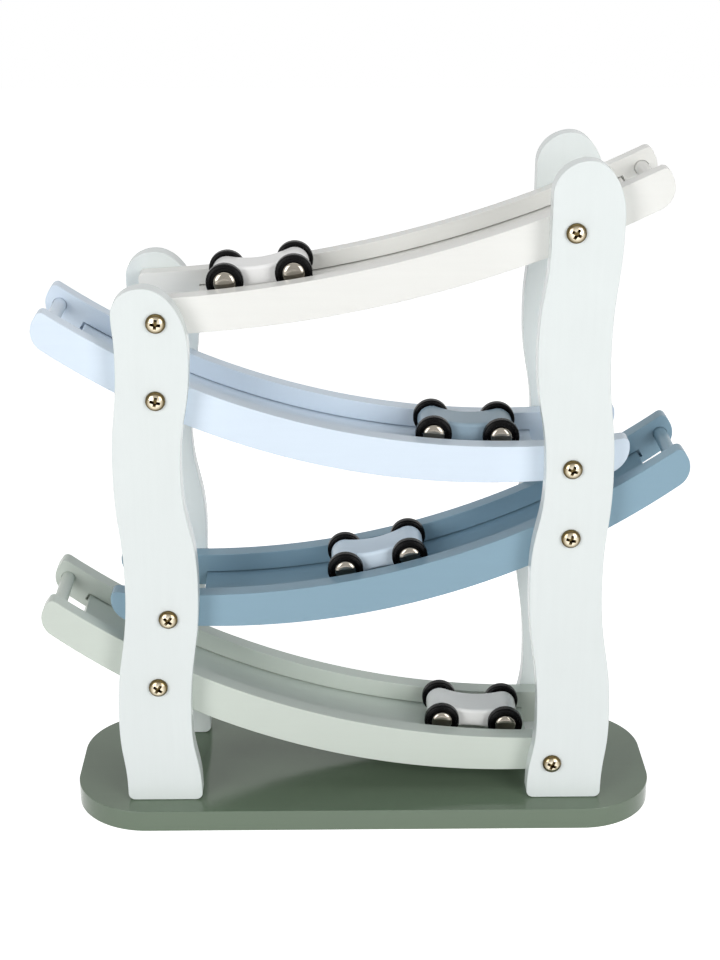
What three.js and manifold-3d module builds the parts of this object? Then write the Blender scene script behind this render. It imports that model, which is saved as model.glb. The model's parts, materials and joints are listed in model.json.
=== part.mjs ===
// A gravity race track of painted wood: four curved channels hang between two pairs of wavy posts
// on a rounded base, and a small car rolls in each channel.
// Millimetres, +Z up, +X to the right, +Y from the front of the toy to its back.
// The origin is the middle of the base's underside.

import * as THREE from "three";
import { mergeVertices } from "three/addons/utils/BufferGeometryUtils.js";
import Module from "manifold-3d";

const wasm = await Module();
wasm.setup();

// Gap between pieces that seat on or in each other
const SEAT_GAP = 0.2;
// Gap round what turns or rolls
const RUNNING_GAP = 0.25;

// Base plate: ledges are what shows past the posts' feet at the ends and past the posts' faces
const BASE_END_LEDGE = 24.5;
const BASE_SIDE_LEDGE = 10;
const BASE_THICKNESS = 9.7;
const BASE_CORNER_RADIUS = 33;
const BASE_EDGE_CHAMFER = 0.5;

// Posts: heights are above the base's top, offsets run outwards from the post's centre line
const POST_SPACING = 174;
const POST_THICKNESS = 9;
const POST_EDGE_CHAMFER = 0.6;
const POST_FOOT_ROUND = 3;
const POST_FOOT = { inner: -15.2, outer: 17.5 };
const LOW_BEND_OUT = { height: 38, inner: -11.7, outer: 19.9 };
const MIDDLE_BEND_IN = { height: 105, inner: -16.7, outer: 14.2 };
const MIDDLE_BEND_OUT = { height: 153, inner: -11.4, outer: 16.8 };
const HIGH_BEND_IN = { height: 206, inner: -16.3, outer: 13.5 };
const HIGH_BEND_OUT = { height: 254, inner: -12.4, outer: 16.8 };
const POST_WAVE = [LOW_BEND_OUT, MIDDLE_BEND_IN, MIDDLE_BEND_OUT, HIGH_BEND_IN, HIGH_BEND_OUT];
// The crown of a post: its top's offset, and each shoulder's offset and drop below the top
const POST_CROWN = {
  left: { top: 1.5, inner: -16.4, innerDrop: 26.8, outer: 14.3, outerDrop: 10.8 },
  right: { top: 2.3, inner: -12.3, innerDrop: 13.8, outer: 16.7, outerDrop: 22.8 },
};
// A bend that lies closer than this below a shoulder gives way to it
const SHOULDER_ROOM = 8;
// All posts lean a little to the left: how far for each millimetre of height
const POST_LEAN = -0.005;
// Wood above the highest screw of a post
const POST_COVER = { left: 14.2, right: 28.6 };

// Rails: each is bounded by one arc above and one below
const CHANNEL_SIDE_CLEARANCE = 3.15;
const RAIL_THICKNESS = 8;
const RAIL_EDGE_CHAMFER = 0.5;
const RAIL_TOP_ROUND = 2.5;
const RAIL_UPPER_END_ROUND = 9.5;
const RAIL_LOW_END_ROUND = 12;
// Least flat between the two rounds of an end
const RAIL_END_FLAT = 0.5;

// Floors: strips let into grooves in both rails
const FLOOR_THICKNESS = 3;
const GROOVE_DEPTH = 2.5;
// The groove's play above the floor, and how far the groove runs on past the floor's upper end
const GROOVE_HEADROOM = 0.5;
const GROOVE_RUNOUT = 0.9;

// Dowels that tie the rails at their upper ends
const DOWEL_DIAMETER = 6;
const DOWEL_DROP = 7;
const DOWEL_SOCKET_DEPTH = 4;

// Screws through the posts into the rails, and countersinks under the base for the posts' own screws
const SCREW_HEAD_DIAMETER = 8.2;
const SCREW_HEAD_HEIGHT = 2.6;
const SCREW_SHANK_DIAMETER = 3.8;
const SCREW_POINT = 1.2;
// Wood left between a screw's tip and the floor's groove
const SCREW_WEB = 1;
const BASE_SCREW_SPREAD = 16;
const COUNTERSINK_DIAMETER = 8;
const COUNTERSINK_DEPTH = 3;
const BASE_SCREW_HOLE_DIAMETER = 4;
const FOOT_PILOT_DIAMETER = 3.4;
const FOOT_PILOT_DEPTH = 15;

// Cars
const WHEEL_DIAMETER = 15.6;
const WHEEL_THICKNESS = 4.4;
const WHEEL_EDGE_ROUND = 0.9;
const TYRE_DEPTH = 1.7;
const WHEEL_DISH_DEPTH = 0.8;
const WHEEL_BASE = 28.7;
const AXLE_DIAMETER = 3;
// Dish that shows round the cap
const CAP_MARGIN = 1.3;
const CAP_HEIGHT = 1.8;
const CAP_RIM = 0.4;
const CAR_WIDTH = 17.6;
// How far the body's lobes stay inside the wheels, and how far its waist draws in from the lobes
const CAR_LOBE_INSET = 1.7;
const CAR_WAIST_INSET = 2.1;
const CAR_EDGE_CHAMFER = 1;

// Tracks from top to bottom. climb is the side of the upper end: 1 for +X, -1 for -X.
// Places along a track run from the middle of the toy towards the upper end. lowest is the bottom of
// the rails' upper arc, whose radius is radius, and rise is its height above that of the track below,
// or above the base. underLowest, depth and underRadius give the arc under the rails, and floorDrop
// is how far the floor lies below the upper arc.
// The rails run past the posts' centre lines by lowOverhang and upperOverhang. The floor starts at
// exitGap inside the low posts' line, and the car stands carAdvance up from there. The dowel is set
// back from the rails' upper ends, and the floor's upper end from the dowel. A screw's shift is how
// far it sits outside its post's centre line.
const TOP_TRACK = {
  name: "top",
  climb: 1,
  radius: 540.3,
  lowest: -116.9,
  rise: 63.1,
  underRadius: 496.5,
  underLowest: -102.4,
  depth: 14.5,
  floorDrop: 7.1,
  lowOverhang: 9,
  upperOverhang: 35.9,
  dowelSetback: 6.5,
  floorSetback: 8.6,
  exitGap: 17,
  carAdvance: 26.6,
  lowScrewShift: -2.7,
  upperScrewShift: -4,
  paint: 0xf1f2ed,
  carPaint: 0xf3f3f3,
};
const UPPER_TRACK = {
  name: "upper",
  climb: -1,
  radius: 337.6,
  lowest: -58.9,
  rise: 67.3,
  underRadius: 324.3,
  underLowest: -53.2,
  depth: 16,
  floorDrop: 8.5,
  lowOverhang: 24.2,
  upperOverhang: 49.8,
  dowelSetback: 6.5,
  floorSetback: 10.5,
  exitGap: 14,
  carAdvance: 29.4,
  lowScrewShift: -1.2,
  upperScrewShift: -1.4,
  paint: 0xb9d3f0,
  carPaint: 0x90a2ac,
};
const LOWER_TRACK = {
  name: "lower",
  climb: 1,
  radius: 346.7,
  lowest: -72.4,
  rise: 70.3,
  underRadius: 325.8,
  underLowest: -61.8,
  depth: 14.7,
  floorDrop: 8.5,
  lowOverhang: 22.6,
  upperOverhang: 49.5,
  dowelSetback: 5.4,
  floorSetback: 9.8,
  exitGap: 16.5,
  carAdvance: 76.3,
  lowScrewShift: -3.1,
  upperScrewShift: -0.7,
  paint: 0x7f9db0,
  carPaint: 0xc1d3e7,
};
const BOTTOM_TRACK = {
  name: "bottom",
  climb: -1,
  radius: 347.3,
  lowest: -72.7,
  rise: 25,
  underRadius: 326.4,
  underLowest: -63.3,
  depth: 16,
  floorDrop: 8.5,
  lowOverhang: 15,
  upperOverhang: 52.7,
  dowelSetback: 6,
  floorSetback: 9.7,
  exitGap: 13,
  carAdvance: 24.6,
  lowScrewShift: -4.5,
  upperScrewShift: 2.3,
  paint: 0xc3ccc0,
  carPaint: 0xaaafab,
};
const TRACKS = [TOP_TRACK, UPPER_TRACK, LOWER_TRACK, BOTTOM_TRACK];

// Facets
const ARC_STEPS = 12;
const CORNER_STEPS = 3;
const WAVE_STEPS = 4;
const CROWN_STEPS = 6;
const BASE_CORNER_STEPS = 7;
const LOBE_STEPS = 7;
const WAIST_STEPS = 4;
const WHEEL_SIDES = 14;
const AXLE_SIDES = 10;
const DOWEL_SIDES = 12;
const SCREW_SIDES = 10;
const HOLE_SIDES = 8;
const DOME_STEPS = 2;
// Points of an outline, and corners of a mesh, that are closer than this are one
const SAME_POINT = 0.01;
const SAME_CORNER = 1e-4;

// Handle length of a cubic curve that follows a quarter circle
const QUARTER_HANDLE = 0.5523;

// Across the toy, from its middle outwards: car, channel, rails, posts, screws, base
const wheelRadius = WHEEL_DIAMETER / 2;
const axleRadius = AXLE_DIAMETER / 2;
const rimRadius = wheelRadius - TYRE_DEPTH;
const capRadius = rimRadius - CAP_MARGIN;
const wheelInnerFace = CAR_WIDTH / 2 + RUNNING_GAP;
const capSeat = wheelInnerFace + WHEEL_THICKNESS - WHEEL_DISH_DEPTH + SEAT_GAP;
const railInnerFace = capSeat + CAP_HEIGHT + CHANNEL_SIDE_CLEARANCE;
const railOuterFace = railInnerFace + RAIL_THICKNESS;
const postInnerFace = railOuterFace + SEAT_GAP;
const postOuterFace = postInnerFace + POST_THICKNESS;
const screwSeat = postOuterFace + SEAT_GAP / 2;
const screwBite = RAIL_THICKNESS - GROOVE_DEPTH - SCREW_WEB;
const baseHalfWidth = postOuterFace + BASE_SIDE_LEDGE;

// Along the toy
const postLine = POST_SPACING / 2;
const baseHalfLength = postLine + POST_FOOT.outer + BASE_END_LEDGE;
const lowEnd = (track) => -postLine - track.lowOverhang;
const upperEnd = (track) => postLine + track.upperOverhang;
const dowelAlong = (track) => upperEnd(track) - track.dowelSetback;
const floorUpperEnd = (track) => dowelAlong(track) - track.floorSetback;
const floorLowEnd = (track) => -postLine + track.exitGap;
const carAlong = (track) => floorLowEnd(track) + track.carAdvance;
const lowScrewAlong = (track) => -postLine - track.lowScrewShift;
const upperScrewAlong = (track) => postLine + track.upperScrewShift;

const sideSign = { left: -1, right: 1 };
const point = (x, y) => new THREE.Vector2(x, y);
const steps = (count, place) => Array.from({ length: count + 1 }, (_, i) => place(i / count));

function paintedWood(color) {
  return new THREE.MeshStandardMaterial({ color, roughness: 0.55, metalness: 0 });
}

const mint = paintedWood(0xe2eae8);
const sage = paintedWood(0x6f7d6c);
const tyreBlack = new THREE.MeshStandardMaterial({ color: 0x1b1c1f, roughness: 0.5, metalness: 0 });
const chrome = new THREE.MeshStandardMaterial({ color: 0xc9c5bd, roughness: 0.15, metalness: 1 });
const brass = new THREE.MeshStandardMaterial({ color: 0xb79f6b, roughness: 0.3, metalness: 1 });

// Solids and cuts

function toSolid(geometry) {
  const bare = geometry.clone();
  bare.deleteAttribute("normal");
  bare.deleteAttribute("uv");
  const merged = mergeVertices(bare, SAME_CORNER);
  return new wasm.Manifold(
    new wasm.Mesh({
      numProp: 3,
      vertProperties: new Float32Array(merged.attributes.position.array),
      triVerts: new Uint32Array(merged.index.array),
    }),
  );
}

function toGeometry(solid) {
  const mesh = solid.getMesh();
  const geometry = new THREE.BufferGeometry();
  geometry.setAttribute("position", new THREE.BufferAttribute(mesh.vertProperties, 3));
  geometry.setIndex(new THREE.BufferAttribute(mesh.triVerts, 1));
  geometry.computeVertexNormals();
  return geometry;
}

function cut(geometry, cutters) {
  const body = toSolid(geometry);
  return toGeometry(cutters.reduce((rest, cutter) => rest.subtract(toSolid(cutter)), body));
}

// An outline without points that fall on the one before them
function cleaned(outline) {
  return outline.filter((p, i) => p.distanceTo(outline.at(i - 1)) > SAME_POINT);
}

// A flat board of an outline, lying on its back with its lower face at zero
function flatBoard(outline, thickness, chamfer = 0) {
  const geometry = new THREE.ExtrudeGeometry(new THREE.Shape(cleaned(outline)), {
    depth: thickness - 2 * chamfer,
    bevelEnabled: chamfer > 0,
    bevelThickness: chamfer,
    bevelSize: chamfer,
    bevelOffset: -chamfer,
    bevelSegments: 1,
  });
  return geometry.translate(0, 0, chamfer);
}

// The same board stood up, its outline in X and Z, between two places in Y
function uprightBoard(outline, near, far, chamfer = 0) {
  return flatBoard(outline, far - near, chamfer).rotateX(Math.PI / 2).translate(0, far, 0);
}

// A straight round cutter or pin along Y
function rod(radius, near, far, sides) {
  return new THREE.CylinderGeometry(radius, radius, far - near, sides).translate(0, (near + far) / 2, 0);
}

// Points of a rounded corner between a point on each side of it
function corner(from, tip, to, count = CORNER_STEPS) {
  const first = from.clone().lerp(tip, QUARTER_HANDLE);
  const second = to.clone().lerp(tip, QUARTER_HANDLE);
  return new THREE.CubicBezierCurve(from, first, second, to).getPoints(count);
}

// Arcs of a track, drawn with the upper end to the right

class Arc {
  constructor(lowest, lowHeight, radius) {
    this.centre = point(lowest, lowHeight + radius);
    this.radius = radius;
  }
  // Angle from straight down at a place along the track, on the line that lies a drop below the arc
  angleAt(place, drop = 0) {
    return Math.asin((place - this.centre.x) / (this.radius + drop));
  }
  at(angle, drop = 0) {
    const reach = this.radius + drop;
    return point(this.centre.x + reach * Math.sin(angle), this.centre.y - reach * Math.cos(angle));
  }
  heightAt(place) {
    return this.at(this.angleAt(place)).y;
  }
  run(from, to, drop = 0) {
    return steps(ARC_STEPS, (t) => this.at(from + (to - from) * t, drop));
  }
  // Where a ray from inside the arc leaves it
  meet(origin, direction) {
    const offset = origin.clone().sub(this.centre);
    const along = offset.dot(direction);
    const length = -along + Math.sqrt(along * along - offset.lengthSq() + this.radius * this.radius);
    return origin.clone().addScaledVector(direction, length);
  }
}

// Height of the bottom of the rails' upper arc
function lowHeight(track) {
  const fromHereDown = TRACKS.slice(TRACKS.indexOf(track));
  return fromHereDown.reduce((height, other) => height + other.rise, BASE_THICKNESS);
}

const topArc = (track) => new Arc(track.lowest, lowHeight(track), track.radius);

function underArc(track) {
  return new Arc(track.underLowest, lowHeight(track) - track.depth, track.underRadius);
}

const towardsClimb = (track, p) => point(p.x * track.climb, p.y);

// One end of a rail, as points from its top edge round to its lower edge.
// side is 1 at the upper end and -1 at the low end.
function railEnd(track, reach, wantedRound, side) {
  const top = topArc(track);
  const under = underArc(track);
  const tipAngle = top.angleAt(reach, track.depth / 2);
  const tip = top.at(tipAngle);
  const down = tip.clone().sub(top.centre).normalize();
  const heel = under.meet(tip, down);
  const underRound = Math.min(wantedRound, tip.distanceTo(heel) - RAIL_TOP_ROUND - RAIL_END_FLAT);
  const topAngle = tipAngle - (side * RAIL_TOP_ROUND) / top.radius;
  const underAngle = under.angleAt(heel.x) - (side * underRound) / under.radius;
  const belowTip = tip.clone().addScaledVector(down, RAIL_TOP_ROUND);
  const aboveHeel = heel.clone().addScaledVector(down, -underRound);
  const points = [
    ...corner(top.at(topAngle), tip, belowTip),
    ...corner(aboveHeel, heel, under.at(underAngle)),
  ];
  return { topAngle, underAngle, points };
}

function railOutline(track) {
  const upper = railEnd(track, upperEnd(track), RAIL_UPPER_END_ROUND, 1);
  const low = railEnd(track, lowEnd(track), RAIL_LOW_END_ROUND, -1);
  const outline = [
    ...topArc(track).run(low.topAngle, upper.topAngle),
    ...upper.points,
    ...underArc(track).run(upper.underAngle, low.underAngle),
    ...low.points.reverse(),
  ];
  return outline.map((p) => towardsClimb(track, p));
}

// A strip along the floor with play below it and at its low end, above it, and at its upper end
function stripOutline(track, play, headroom, runout) {
  const arc = topArc(track);
  const drop = track.floorDrop;
  const from = arc.angleAt(floorLowEnd(track) - play, drop);
  const to = arc.angleAt(floorUpperEnd(track) + runout, drop);
  const outline = [
    ...arc.run(from, to, drop - headroom),
    ...arc.run(to, from, drop + FLOOR_THICKNESS + play),
  ];
  return outline.map((p) => towardsClimb(track, p));
}

const floorOutline = (track) => stripOutline(track, 0, 0, 0);
const grooveOutline = (track) => stripOutline(track, SEAT_GAP, GROOVE_HEADROOM, GROOVE_RUNOUT);

// Middle of the rail where a screw enters it
function screwPlace(track, along) {
  const height = (topArc(track).heightAt(along) + underArc(track).heightAt(along)) / 2;
  return towardsClimb(track, point(along, height));
}

function dowelPlace(track) {
  const arc = topArc(track);
  return towardsClimb(track, arc.at(arc.angleAt(dowelAlong(track), DOWEL_DROP), DOWEL_DROP));
}

// Base plate with countersunk holes under the posts' feet

function baseOutline() {
  const round = Math.min(BASE_CORNER_RADIUS, baseHalfWidth, baseHalfLength);
  const long = baseHalfLength - round;
  const wide = baseHalfWidth - round;
  const centres = [point(long, wide), point(-long, wide), point(-long, -wide), point(long, -wide)];
  return centres.flatMap((centre, quarter) =>
    steps(BASE_CORNER_STEPS, (t) => {
      const angle = ((quarter + t) * Math.PI) / 2;
      return point(Math.cos(angle), Math.sin(angle)).multiplyScalar(round).add(centre);
    }),
  );
}

// Places along the toy of the two screws in a post's foot
function footScrewPlaces(side) {
  const footMiddle = postLine + (POST_FOOT.inner + POST_FOOT.outer) / 2;
  return [-1, 1].map((end) => sideSign[side] * (footMiddle + (end * BASE_SCREW_SPREAD) / 2));
}

function baseScrewHoles() {
  const holeRadius = BASE_SCREW_HOLE_DIAMETER / 2;
  const postMiddle = (postInnerFace + postOuterFace) / 2;
  const profile = [
    point(0, -SEAT_GAP),
    point(COUNTERSINK_DIAMETER / 2, -SEAT_GAP),
    point(holeRadius, COUNTERSINK_DEPTH),
    point(holeRadius, BASE_THICKNESS + SEAT_GAP),
    point(0, BASE_THICKNESS + SEAT_GAP),
  ];
  const hole = new THREE.LatheGeometry(profile, HOLE_SIDES).rotateX(Math.PI / 2);
  const places = [...footScrewPlaces("left"), ...footScrewPlaces("right")];
  return [-postMiddle, postMiddle].flatMap((y) => places.map((x) => hole.clone().translate(x, y, 0)));
}

function basePlate() {
  return cut(flatBoard(baseOutline(), BASE_THICKNESS, BASE_EDGE_CHAMFER), baseScrewHoles());
}

// Posts

// One wavy edge from the foot upwards, through the wave's crests and hollows to the shoulder
function waveEdge(edge, shoulder) {
  const stops = POST_WAVE.filter((stop) => stop.height < shoulder.y - SHOULDER_ROOM);
  const places = [
    point(POST_FOOT[edge], POST_FOOT_ROUND),
    ...stops.map((stop) => point(stop[edge], stop.height)),
    shoulder,
  ];
  return places.slice(1).flatMap((to, i) => {
    const from = places[i];
    const half = (from.y + to.y) / 2;
    const curve = new THREE.CubicBezierCurve(from, point(from.x, half), point(to.x, half), to);
    return curve.getPoints(WAVE_STEPS);
  });
}

function footCorner(edge, side) {
  const tip = point(POST_FOOT[edge], 0);
  const inside = point(POST_FOOT[edge] - side * POST_FOOT_ROUND, 0);
  return corner(inside, tip, point(POST_FOOT[edge], POST_FOOT_ROUND));
}

// Places of the screws through one post, from the top track down
function postScrewPlaces(side) {
  return TRACKS.map((track) => {
    const isUpperEnd = sideSign[side] === track.climb;
    return screwPlace(track, isUpperEnd ? upperScrewAlong(track) : lowScrewAlong(track));
  });
}

function postOutline(side) {
  const lift = BASE_THICKNESS + SEAT_GAP;
  const height = postScrewPlaces(side)[0].y + POST_COVER[side] - lift;
  const crown = POST_CROWN[side];
  const top = point(crown.top, height);
  const outerShoulder = point(crown.outer, height - crown.outerDrop);
  const innerShoulder = point(crown.inner, height - crown.innerDrop);
  const outline = [
    ...footCorner("outer", 1),
    ...waveEdge("outer", outerShoulder),
    ...corner(outerShoulder, point(crown.outer, height), top, CROWN_STEPS),
    ...corner(top, point(crown.inner, height), innerShoulder, CROWN_STEPS),
    ...waveEdge("inner", innerShoulder).reverse(),
    ...footCorner("inner", -1).reverse(),
  ];
  return outline.map((p) =>
    point(sideSign[side] * (postLine + p.x) + POST_LEAN * p.y, p.y + lift),
  );
}

// Screw holes of one post, through its thickness
function postScrewHoles(side) {
  const holeRadius = SCREW_SHANK_DIAMETER / 2 + SEAT_GAP;
  return postScrewPlaces(side).map((place) => {
    const hole = rod(holeRadius, -SEAT_GAP, POST_THICKNESS + SEAT_GAP, HOLE_SIDES);
    return hole.translate(place.x, 0, place.y);
  });
}

// Blind holes in a post's foot for the screws that come up through the base
function footPilots(side) {
  const bottom = BASE_THICKNESS;
  const pilot = rod(FOOT_PILOT_DIAMETER / 2, bottom, bottom + FOOT_PILOT_DEPTH, HOLE_SIDES);
  const standing = pilot.rotateX(Math.PI / 2);
  return footScrewPlaces(side).map((x) => standing.clone().translate(x, POST_THICKNESS / 2, 0));
}

function post(side) {
  const plain = uprightBoard(postOutline(side), 0, POST_THICKNESS, POST_EDGE_CHAMFER);
  return cut(plain, [...postScrewHoles(side), ...footPilots(side)]);
}

// Rails, floor and dowel of one track

// face is -1 for the front rail and 1 for the rear one
function rail(track, face) {
  const span = (from, to) => [face * from, face * to].sort((a, b) => a - b);
  const plain = uprightBoard(
    railOutline(track),
    ...span(railInnerFace, railOuterFace),
    RAIL_EDGE_CHAMFER,
  );
  const groove = uprightBoard(
    grooveOutline(track),
    ...span(railInnerFace - SEAT_GAP, railInnerFace + GROOVE_DEPTH),
  );
  const socketSpan = span(railInnerFace - SEAT_GAP, railInnerFace + DOWEL_SOCKET_DEPTH);
  const socket = rod(DOWEL_DIAMETER / 2 + SEAT_GAP, ...socketSpan, DOWEL_SIDES);
  const socketPlace = dowelPlace(track);
  const pilotSpan = span(railOuterFace - screwBite - SEAT_GAP, railOuterFace + SEAT_GAP);
  const pilots = [lowScrewAlong(track), upperScrewAlong(track)].map((along) => {
    const place = screwPlace(track, along);
    const pilot = rod(SCREW_SHANK_DIAMETER / 2 + SEAT_GAP, ...pilotSpan, HOLE_SIDES);
    return pilot.translate(place.x, 0, place.y);
  });
  return cut(plain, [groove, socket.translate(socketPlace.x, 0, socketPlace.y), ...pilots]);
}

function floor(track) {
  const edge = railInnerFace + GROOVE_DEPTH - SEAT_GAP;
  return uprightBoard(floorOutline(track), -edge, edge);
}

function dowel() {
  const end = railInnerFace + DOWEL_SOCKET_DEPTH - SEAT_GAP;
  return rod(DOWEL_DIAMETER / 2, -end, end, DOWEL_SIDES);
}

// A pan-head screw, its head towards -Y and the underside of the head at zero
function screw() {
  const headRadius = SCREW_HEAD_DIAMETER / 2;
  const shankRadius = SCREW_SHANK_DIAMETER / 2;
  const length = screwSeat - railOuterFace + screwBite;
  const dome = steps(DOME_STEPS, (t) => {
    const angle = ((1 - t) * Math.PI) / 2;
    return point(headRadius * Math.cos(angle), -SCREW_HEAD_HEIGHT * Math.sin(angle));
  });
  dome[0].x = 0;
  const profile = [
    ...dome,
    point(shankRadius, 0),
    point(shankRadius, length - SCREW_POINT),
    point(0, length),
  ];
  return new THREE.LatheGeometry(profile, SCREW_SIDES);
}

// Cars

// Side outline of a car's body: a round lobe over each axle, with a waist that curves between them
function carOutline() {
  const half = WHEEL_BASE / 2;
  const lobe = wheelRadius - CAR_LOBE_INSET;
  const waist = lobe - CAR_WAIST_INSET;
  const sweep = (half * half + waist * waist - lobe * lobe) / (2 * (lobe - waist));
  const tangent = Math.atan2(waist + sweep, half);
  const aroundLobe = (side) =>
    steps(LOBE_STEPS, (t) => {
      const angle = (Math.PI - tangent) * (2 * t - 1);
      return point(side * (half + lobe * Math.cos(angle)), side * lobe * Math.sin(angle));
    });
  const alongWaist = (side) =>
    steps(WAIST_STEPS, (t) => {
      const angle = (Math.PI / 2 - tangent) * (1 - 2 * t);
      return point(side * sweep * Math.sin(angle), side * (waist + sweep - sweep * Math.cos(angle)));
    });
  return [...aroundLobe(1), ...alongWaist(1), ...aroundLobe(-1), ...alongWaist(-1)];
}

function carBody() {
  const half = CAR_WIDTH / 2;
  const plain = uprightBoard(carOutline(), -half, half, CAR_EDGE_CHAMFER);
  const bore = rod(axleRadius + RUNNING_GAP, -half - SEAT_GAP, half + SEAT_GAP, HOLE_SIDES);
  const bores = [-1, 1].map((end) => bore.clone().translate((end * WHEEL_BASE) / 2, 0, 0));
  return cut(plain, bores);
}

// A wheel with its inner face at zero and its dished face towards +Y
function wheel() {
  const bore = axleRadius + SEAT_GAP;
  const dish = WHEEL_THICKNESS - WHEEL_DISH_DEPTH;
  const profile = [
    point(bore, 0),
    point(wheelRadius - WHEEL_EDGE_ROUND, 0),
    point(wheelRadius, WHEEL_EDGE_ROUND),
    point(wheelRadius, WHEEL_THICKNESS - WHEEL_EDGE_ROUND),
    point(wheelRadius - WHEEL_EDGE_ROUND, WHEEL_THICKNESS),
    point(rimRadius, WHEEL_THICKNESS),
    point(rimRadius, dish),
    point(bore, dish),
    point(bore, 0),
  ];
  return new THREE.LatheGeometry(profile, WHEEL_SIDES);
}

// An axle with a domed cap at each end
function axle() {
  const dome = steps(DOME_STEPS, (t) => {
    const angle = (t * Math.PI) / 2;
    const rise = CAP_RIM + (CAP_HEIGHT - CAP_RIM) * Math.sin(angle);
    return point(capRadius * Math.cos(angle), capSeat + rise);
  });
  dome.at(-1).x = 0;
  const half = [point(axleRadius, capSeat), point(capRadius, capSeat), ...dome];
  const otherHalf = half.map((p) => point(p.x, -p.y)).reverse();
  return new THREE.LatheGeometry([...otherHalf, ...half], AXLE_SIDES);
}

// Scene

function node(name, geometry, material, x = 0, y = 0, z = 0) {
  const mesh = new THREE.Mesh(geometry, material);
  mesh.name = name;
  mesh.position.set(x, y, z);
  return mesh;
}

function postPair(side) {
  const geometry = post(side);
  const pair = new THREE.Group();
  pair.add(node(`${side}_front_post`, geometry, mint, 0, -postOuterFace, 0));
  pair.add(node(`${side}_rear_post`, geometry, mint, 0, postInnerFace, 0));
  return pair;
}

function trackGroup(track) {
  const paint = paintedWood(track.paint);
  const group = new THREE.Group();
  group.add(node(`${track.name}_track_front_rail`, rail(track, -1), paint));
  group.add(node(`${track.name}_track_rear_rail`, rail(track, 1), paint));
  group.add(node(`${track.name}_track_floor`, floor(track), paint));
  const tie = dowelPlace(track);
  group.add(node(`${track.name}_track_dowel`, dowel(), paint, tie.x, 0, tie.y));
  const screws = { low: lowScrewAlong(track), upper: upperScrewAlong(track) };
  for (const [end, along] of Object.entries(screws)) {
    const place = screwPlace(track, along);
    group.add(node(`${track.name}_track_${end}_screw`, screw(), brass, place.x, -screwSeat, place.y));
  }
  return group;
}

// A car hangs from its track's centre of curvature, so that turning the group rolls it along the floor
function carGroup(track) {
  const arc = topArc(track);
  const axleSwing = arc.radius + track.floorDrop - wheelRadius - RUNNING_GAP;
  const half = WHEEL_BASE / 2;
  const bodySwing = Math.sqrt(axleSwing * axleSwing - half * half);
  const pivot = new THREE.Group();
  pivot.position.set(arc.centre.x * track.climb, 0, arc.centre.y);
  pivot.rotation.y = -track.climb * Math.asin((carAlong(track) - arc.centre.x) / bodySwing);
  const name = `${track.name}_car`;
  pivot.add(node(`${name}_body`, carBody(), paintedWood(track.carPaint), 0, 0, -bodySwing));
  const ends = { low: -track.climb, upper: track.climb };
  for (const [end, sign] of Object.entries(ends)) {
    const wheelset = new THREE.Group();
    wheelset.position.set(sign * half, 0, -bodySwing);
    wheelset.add(node(`${name}_${end}_axle`, axle(), chrome));
    wheelset.add(node(`${name}_${end}_rear_wheel`, wheel(), tyreBlack, 0, wheelInnerFace, 0));
    const front = node(`${name}_${end}_front_wheel`, wheel(), tyreBlack, 0, -wheelInnerFace, 0);
    front.rotation.z = Math.PI;
    wheelset.add(front);
    pivot.add(wheelset);
  }
  return pivot;
}

const raceTrack = new THREE.Group();
raceTrack.add(node("base_plate", basePlate(), sage));
raceTrack.add(postPair("left"), postPair("right"));
for (const track of TRACKS) {
  raceTrack.add(trackGroup(track), carGroup(track));
}

export default raceTrack;
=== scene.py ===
"""Looks of a painted wooden race track: smooth boards with rounded edges, cars with black wheels and
domed caps, and cross-head screws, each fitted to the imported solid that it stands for.

Sizes are millimetres in the part's frame: X to the right, Y to the back, Z up.
"""

import json
import math

import bpy
from mathutils import Matrix, Vector
from mathutils.geometry import interpolate_bezier


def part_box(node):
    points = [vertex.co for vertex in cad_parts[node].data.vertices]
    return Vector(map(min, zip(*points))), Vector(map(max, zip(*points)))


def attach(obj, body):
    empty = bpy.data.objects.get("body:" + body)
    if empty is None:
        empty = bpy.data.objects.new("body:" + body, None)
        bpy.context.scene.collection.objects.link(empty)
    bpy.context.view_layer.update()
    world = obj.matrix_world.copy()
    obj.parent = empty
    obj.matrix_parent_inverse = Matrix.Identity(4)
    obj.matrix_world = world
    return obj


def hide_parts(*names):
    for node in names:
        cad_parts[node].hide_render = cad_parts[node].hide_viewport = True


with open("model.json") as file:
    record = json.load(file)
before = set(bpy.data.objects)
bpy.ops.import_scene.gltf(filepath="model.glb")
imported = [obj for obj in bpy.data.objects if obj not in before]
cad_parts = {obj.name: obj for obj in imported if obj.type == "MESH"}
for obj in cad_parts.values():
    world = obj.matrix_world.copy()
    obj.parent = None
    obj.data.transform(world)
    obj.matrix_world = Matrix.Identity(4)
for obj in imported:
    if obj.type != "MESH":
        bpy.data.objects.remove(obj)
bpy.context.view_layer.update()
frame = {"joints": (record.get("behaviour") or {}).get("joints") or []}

MM = 0.001

# Camera of the photograph: focal length in pixels of its 720 by 960 frame, place and turn
IMAGE_HEIGHT = 960
FOCAL_PIXELS = 1826.0
SENSOR = 36.0
CAMERA_PLACE = Vector((-13.3, -740.6, 433.2))
CAMERA_YAW = 0.0156
CAMERA_PITCH = 0.3677
CAMERA_ROLL = 0.0014
CAMERA_NEAR = 10
CAMERA_FAR = 100000

# Gaps: round pieces that stay put, and round pieces that turn
SEAT_GAP = 0.2
RUNNING_GAP = 0.25

# Which way along Y the boards of the front and the rear lie from the middle
FACES = {"front": -1, "rear": 1}

# Boards: the base's corners, and the fine round along the edges of each kind
BASE_CORNER_RADIUS = 33
BASE_EDGE_ROUND = 0.3
POST_EDGE_ROUND = 0.4
RAIL_EDGE_ROUND = 0.35
CAR_EDGE_ROUND = 1.5

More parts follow.
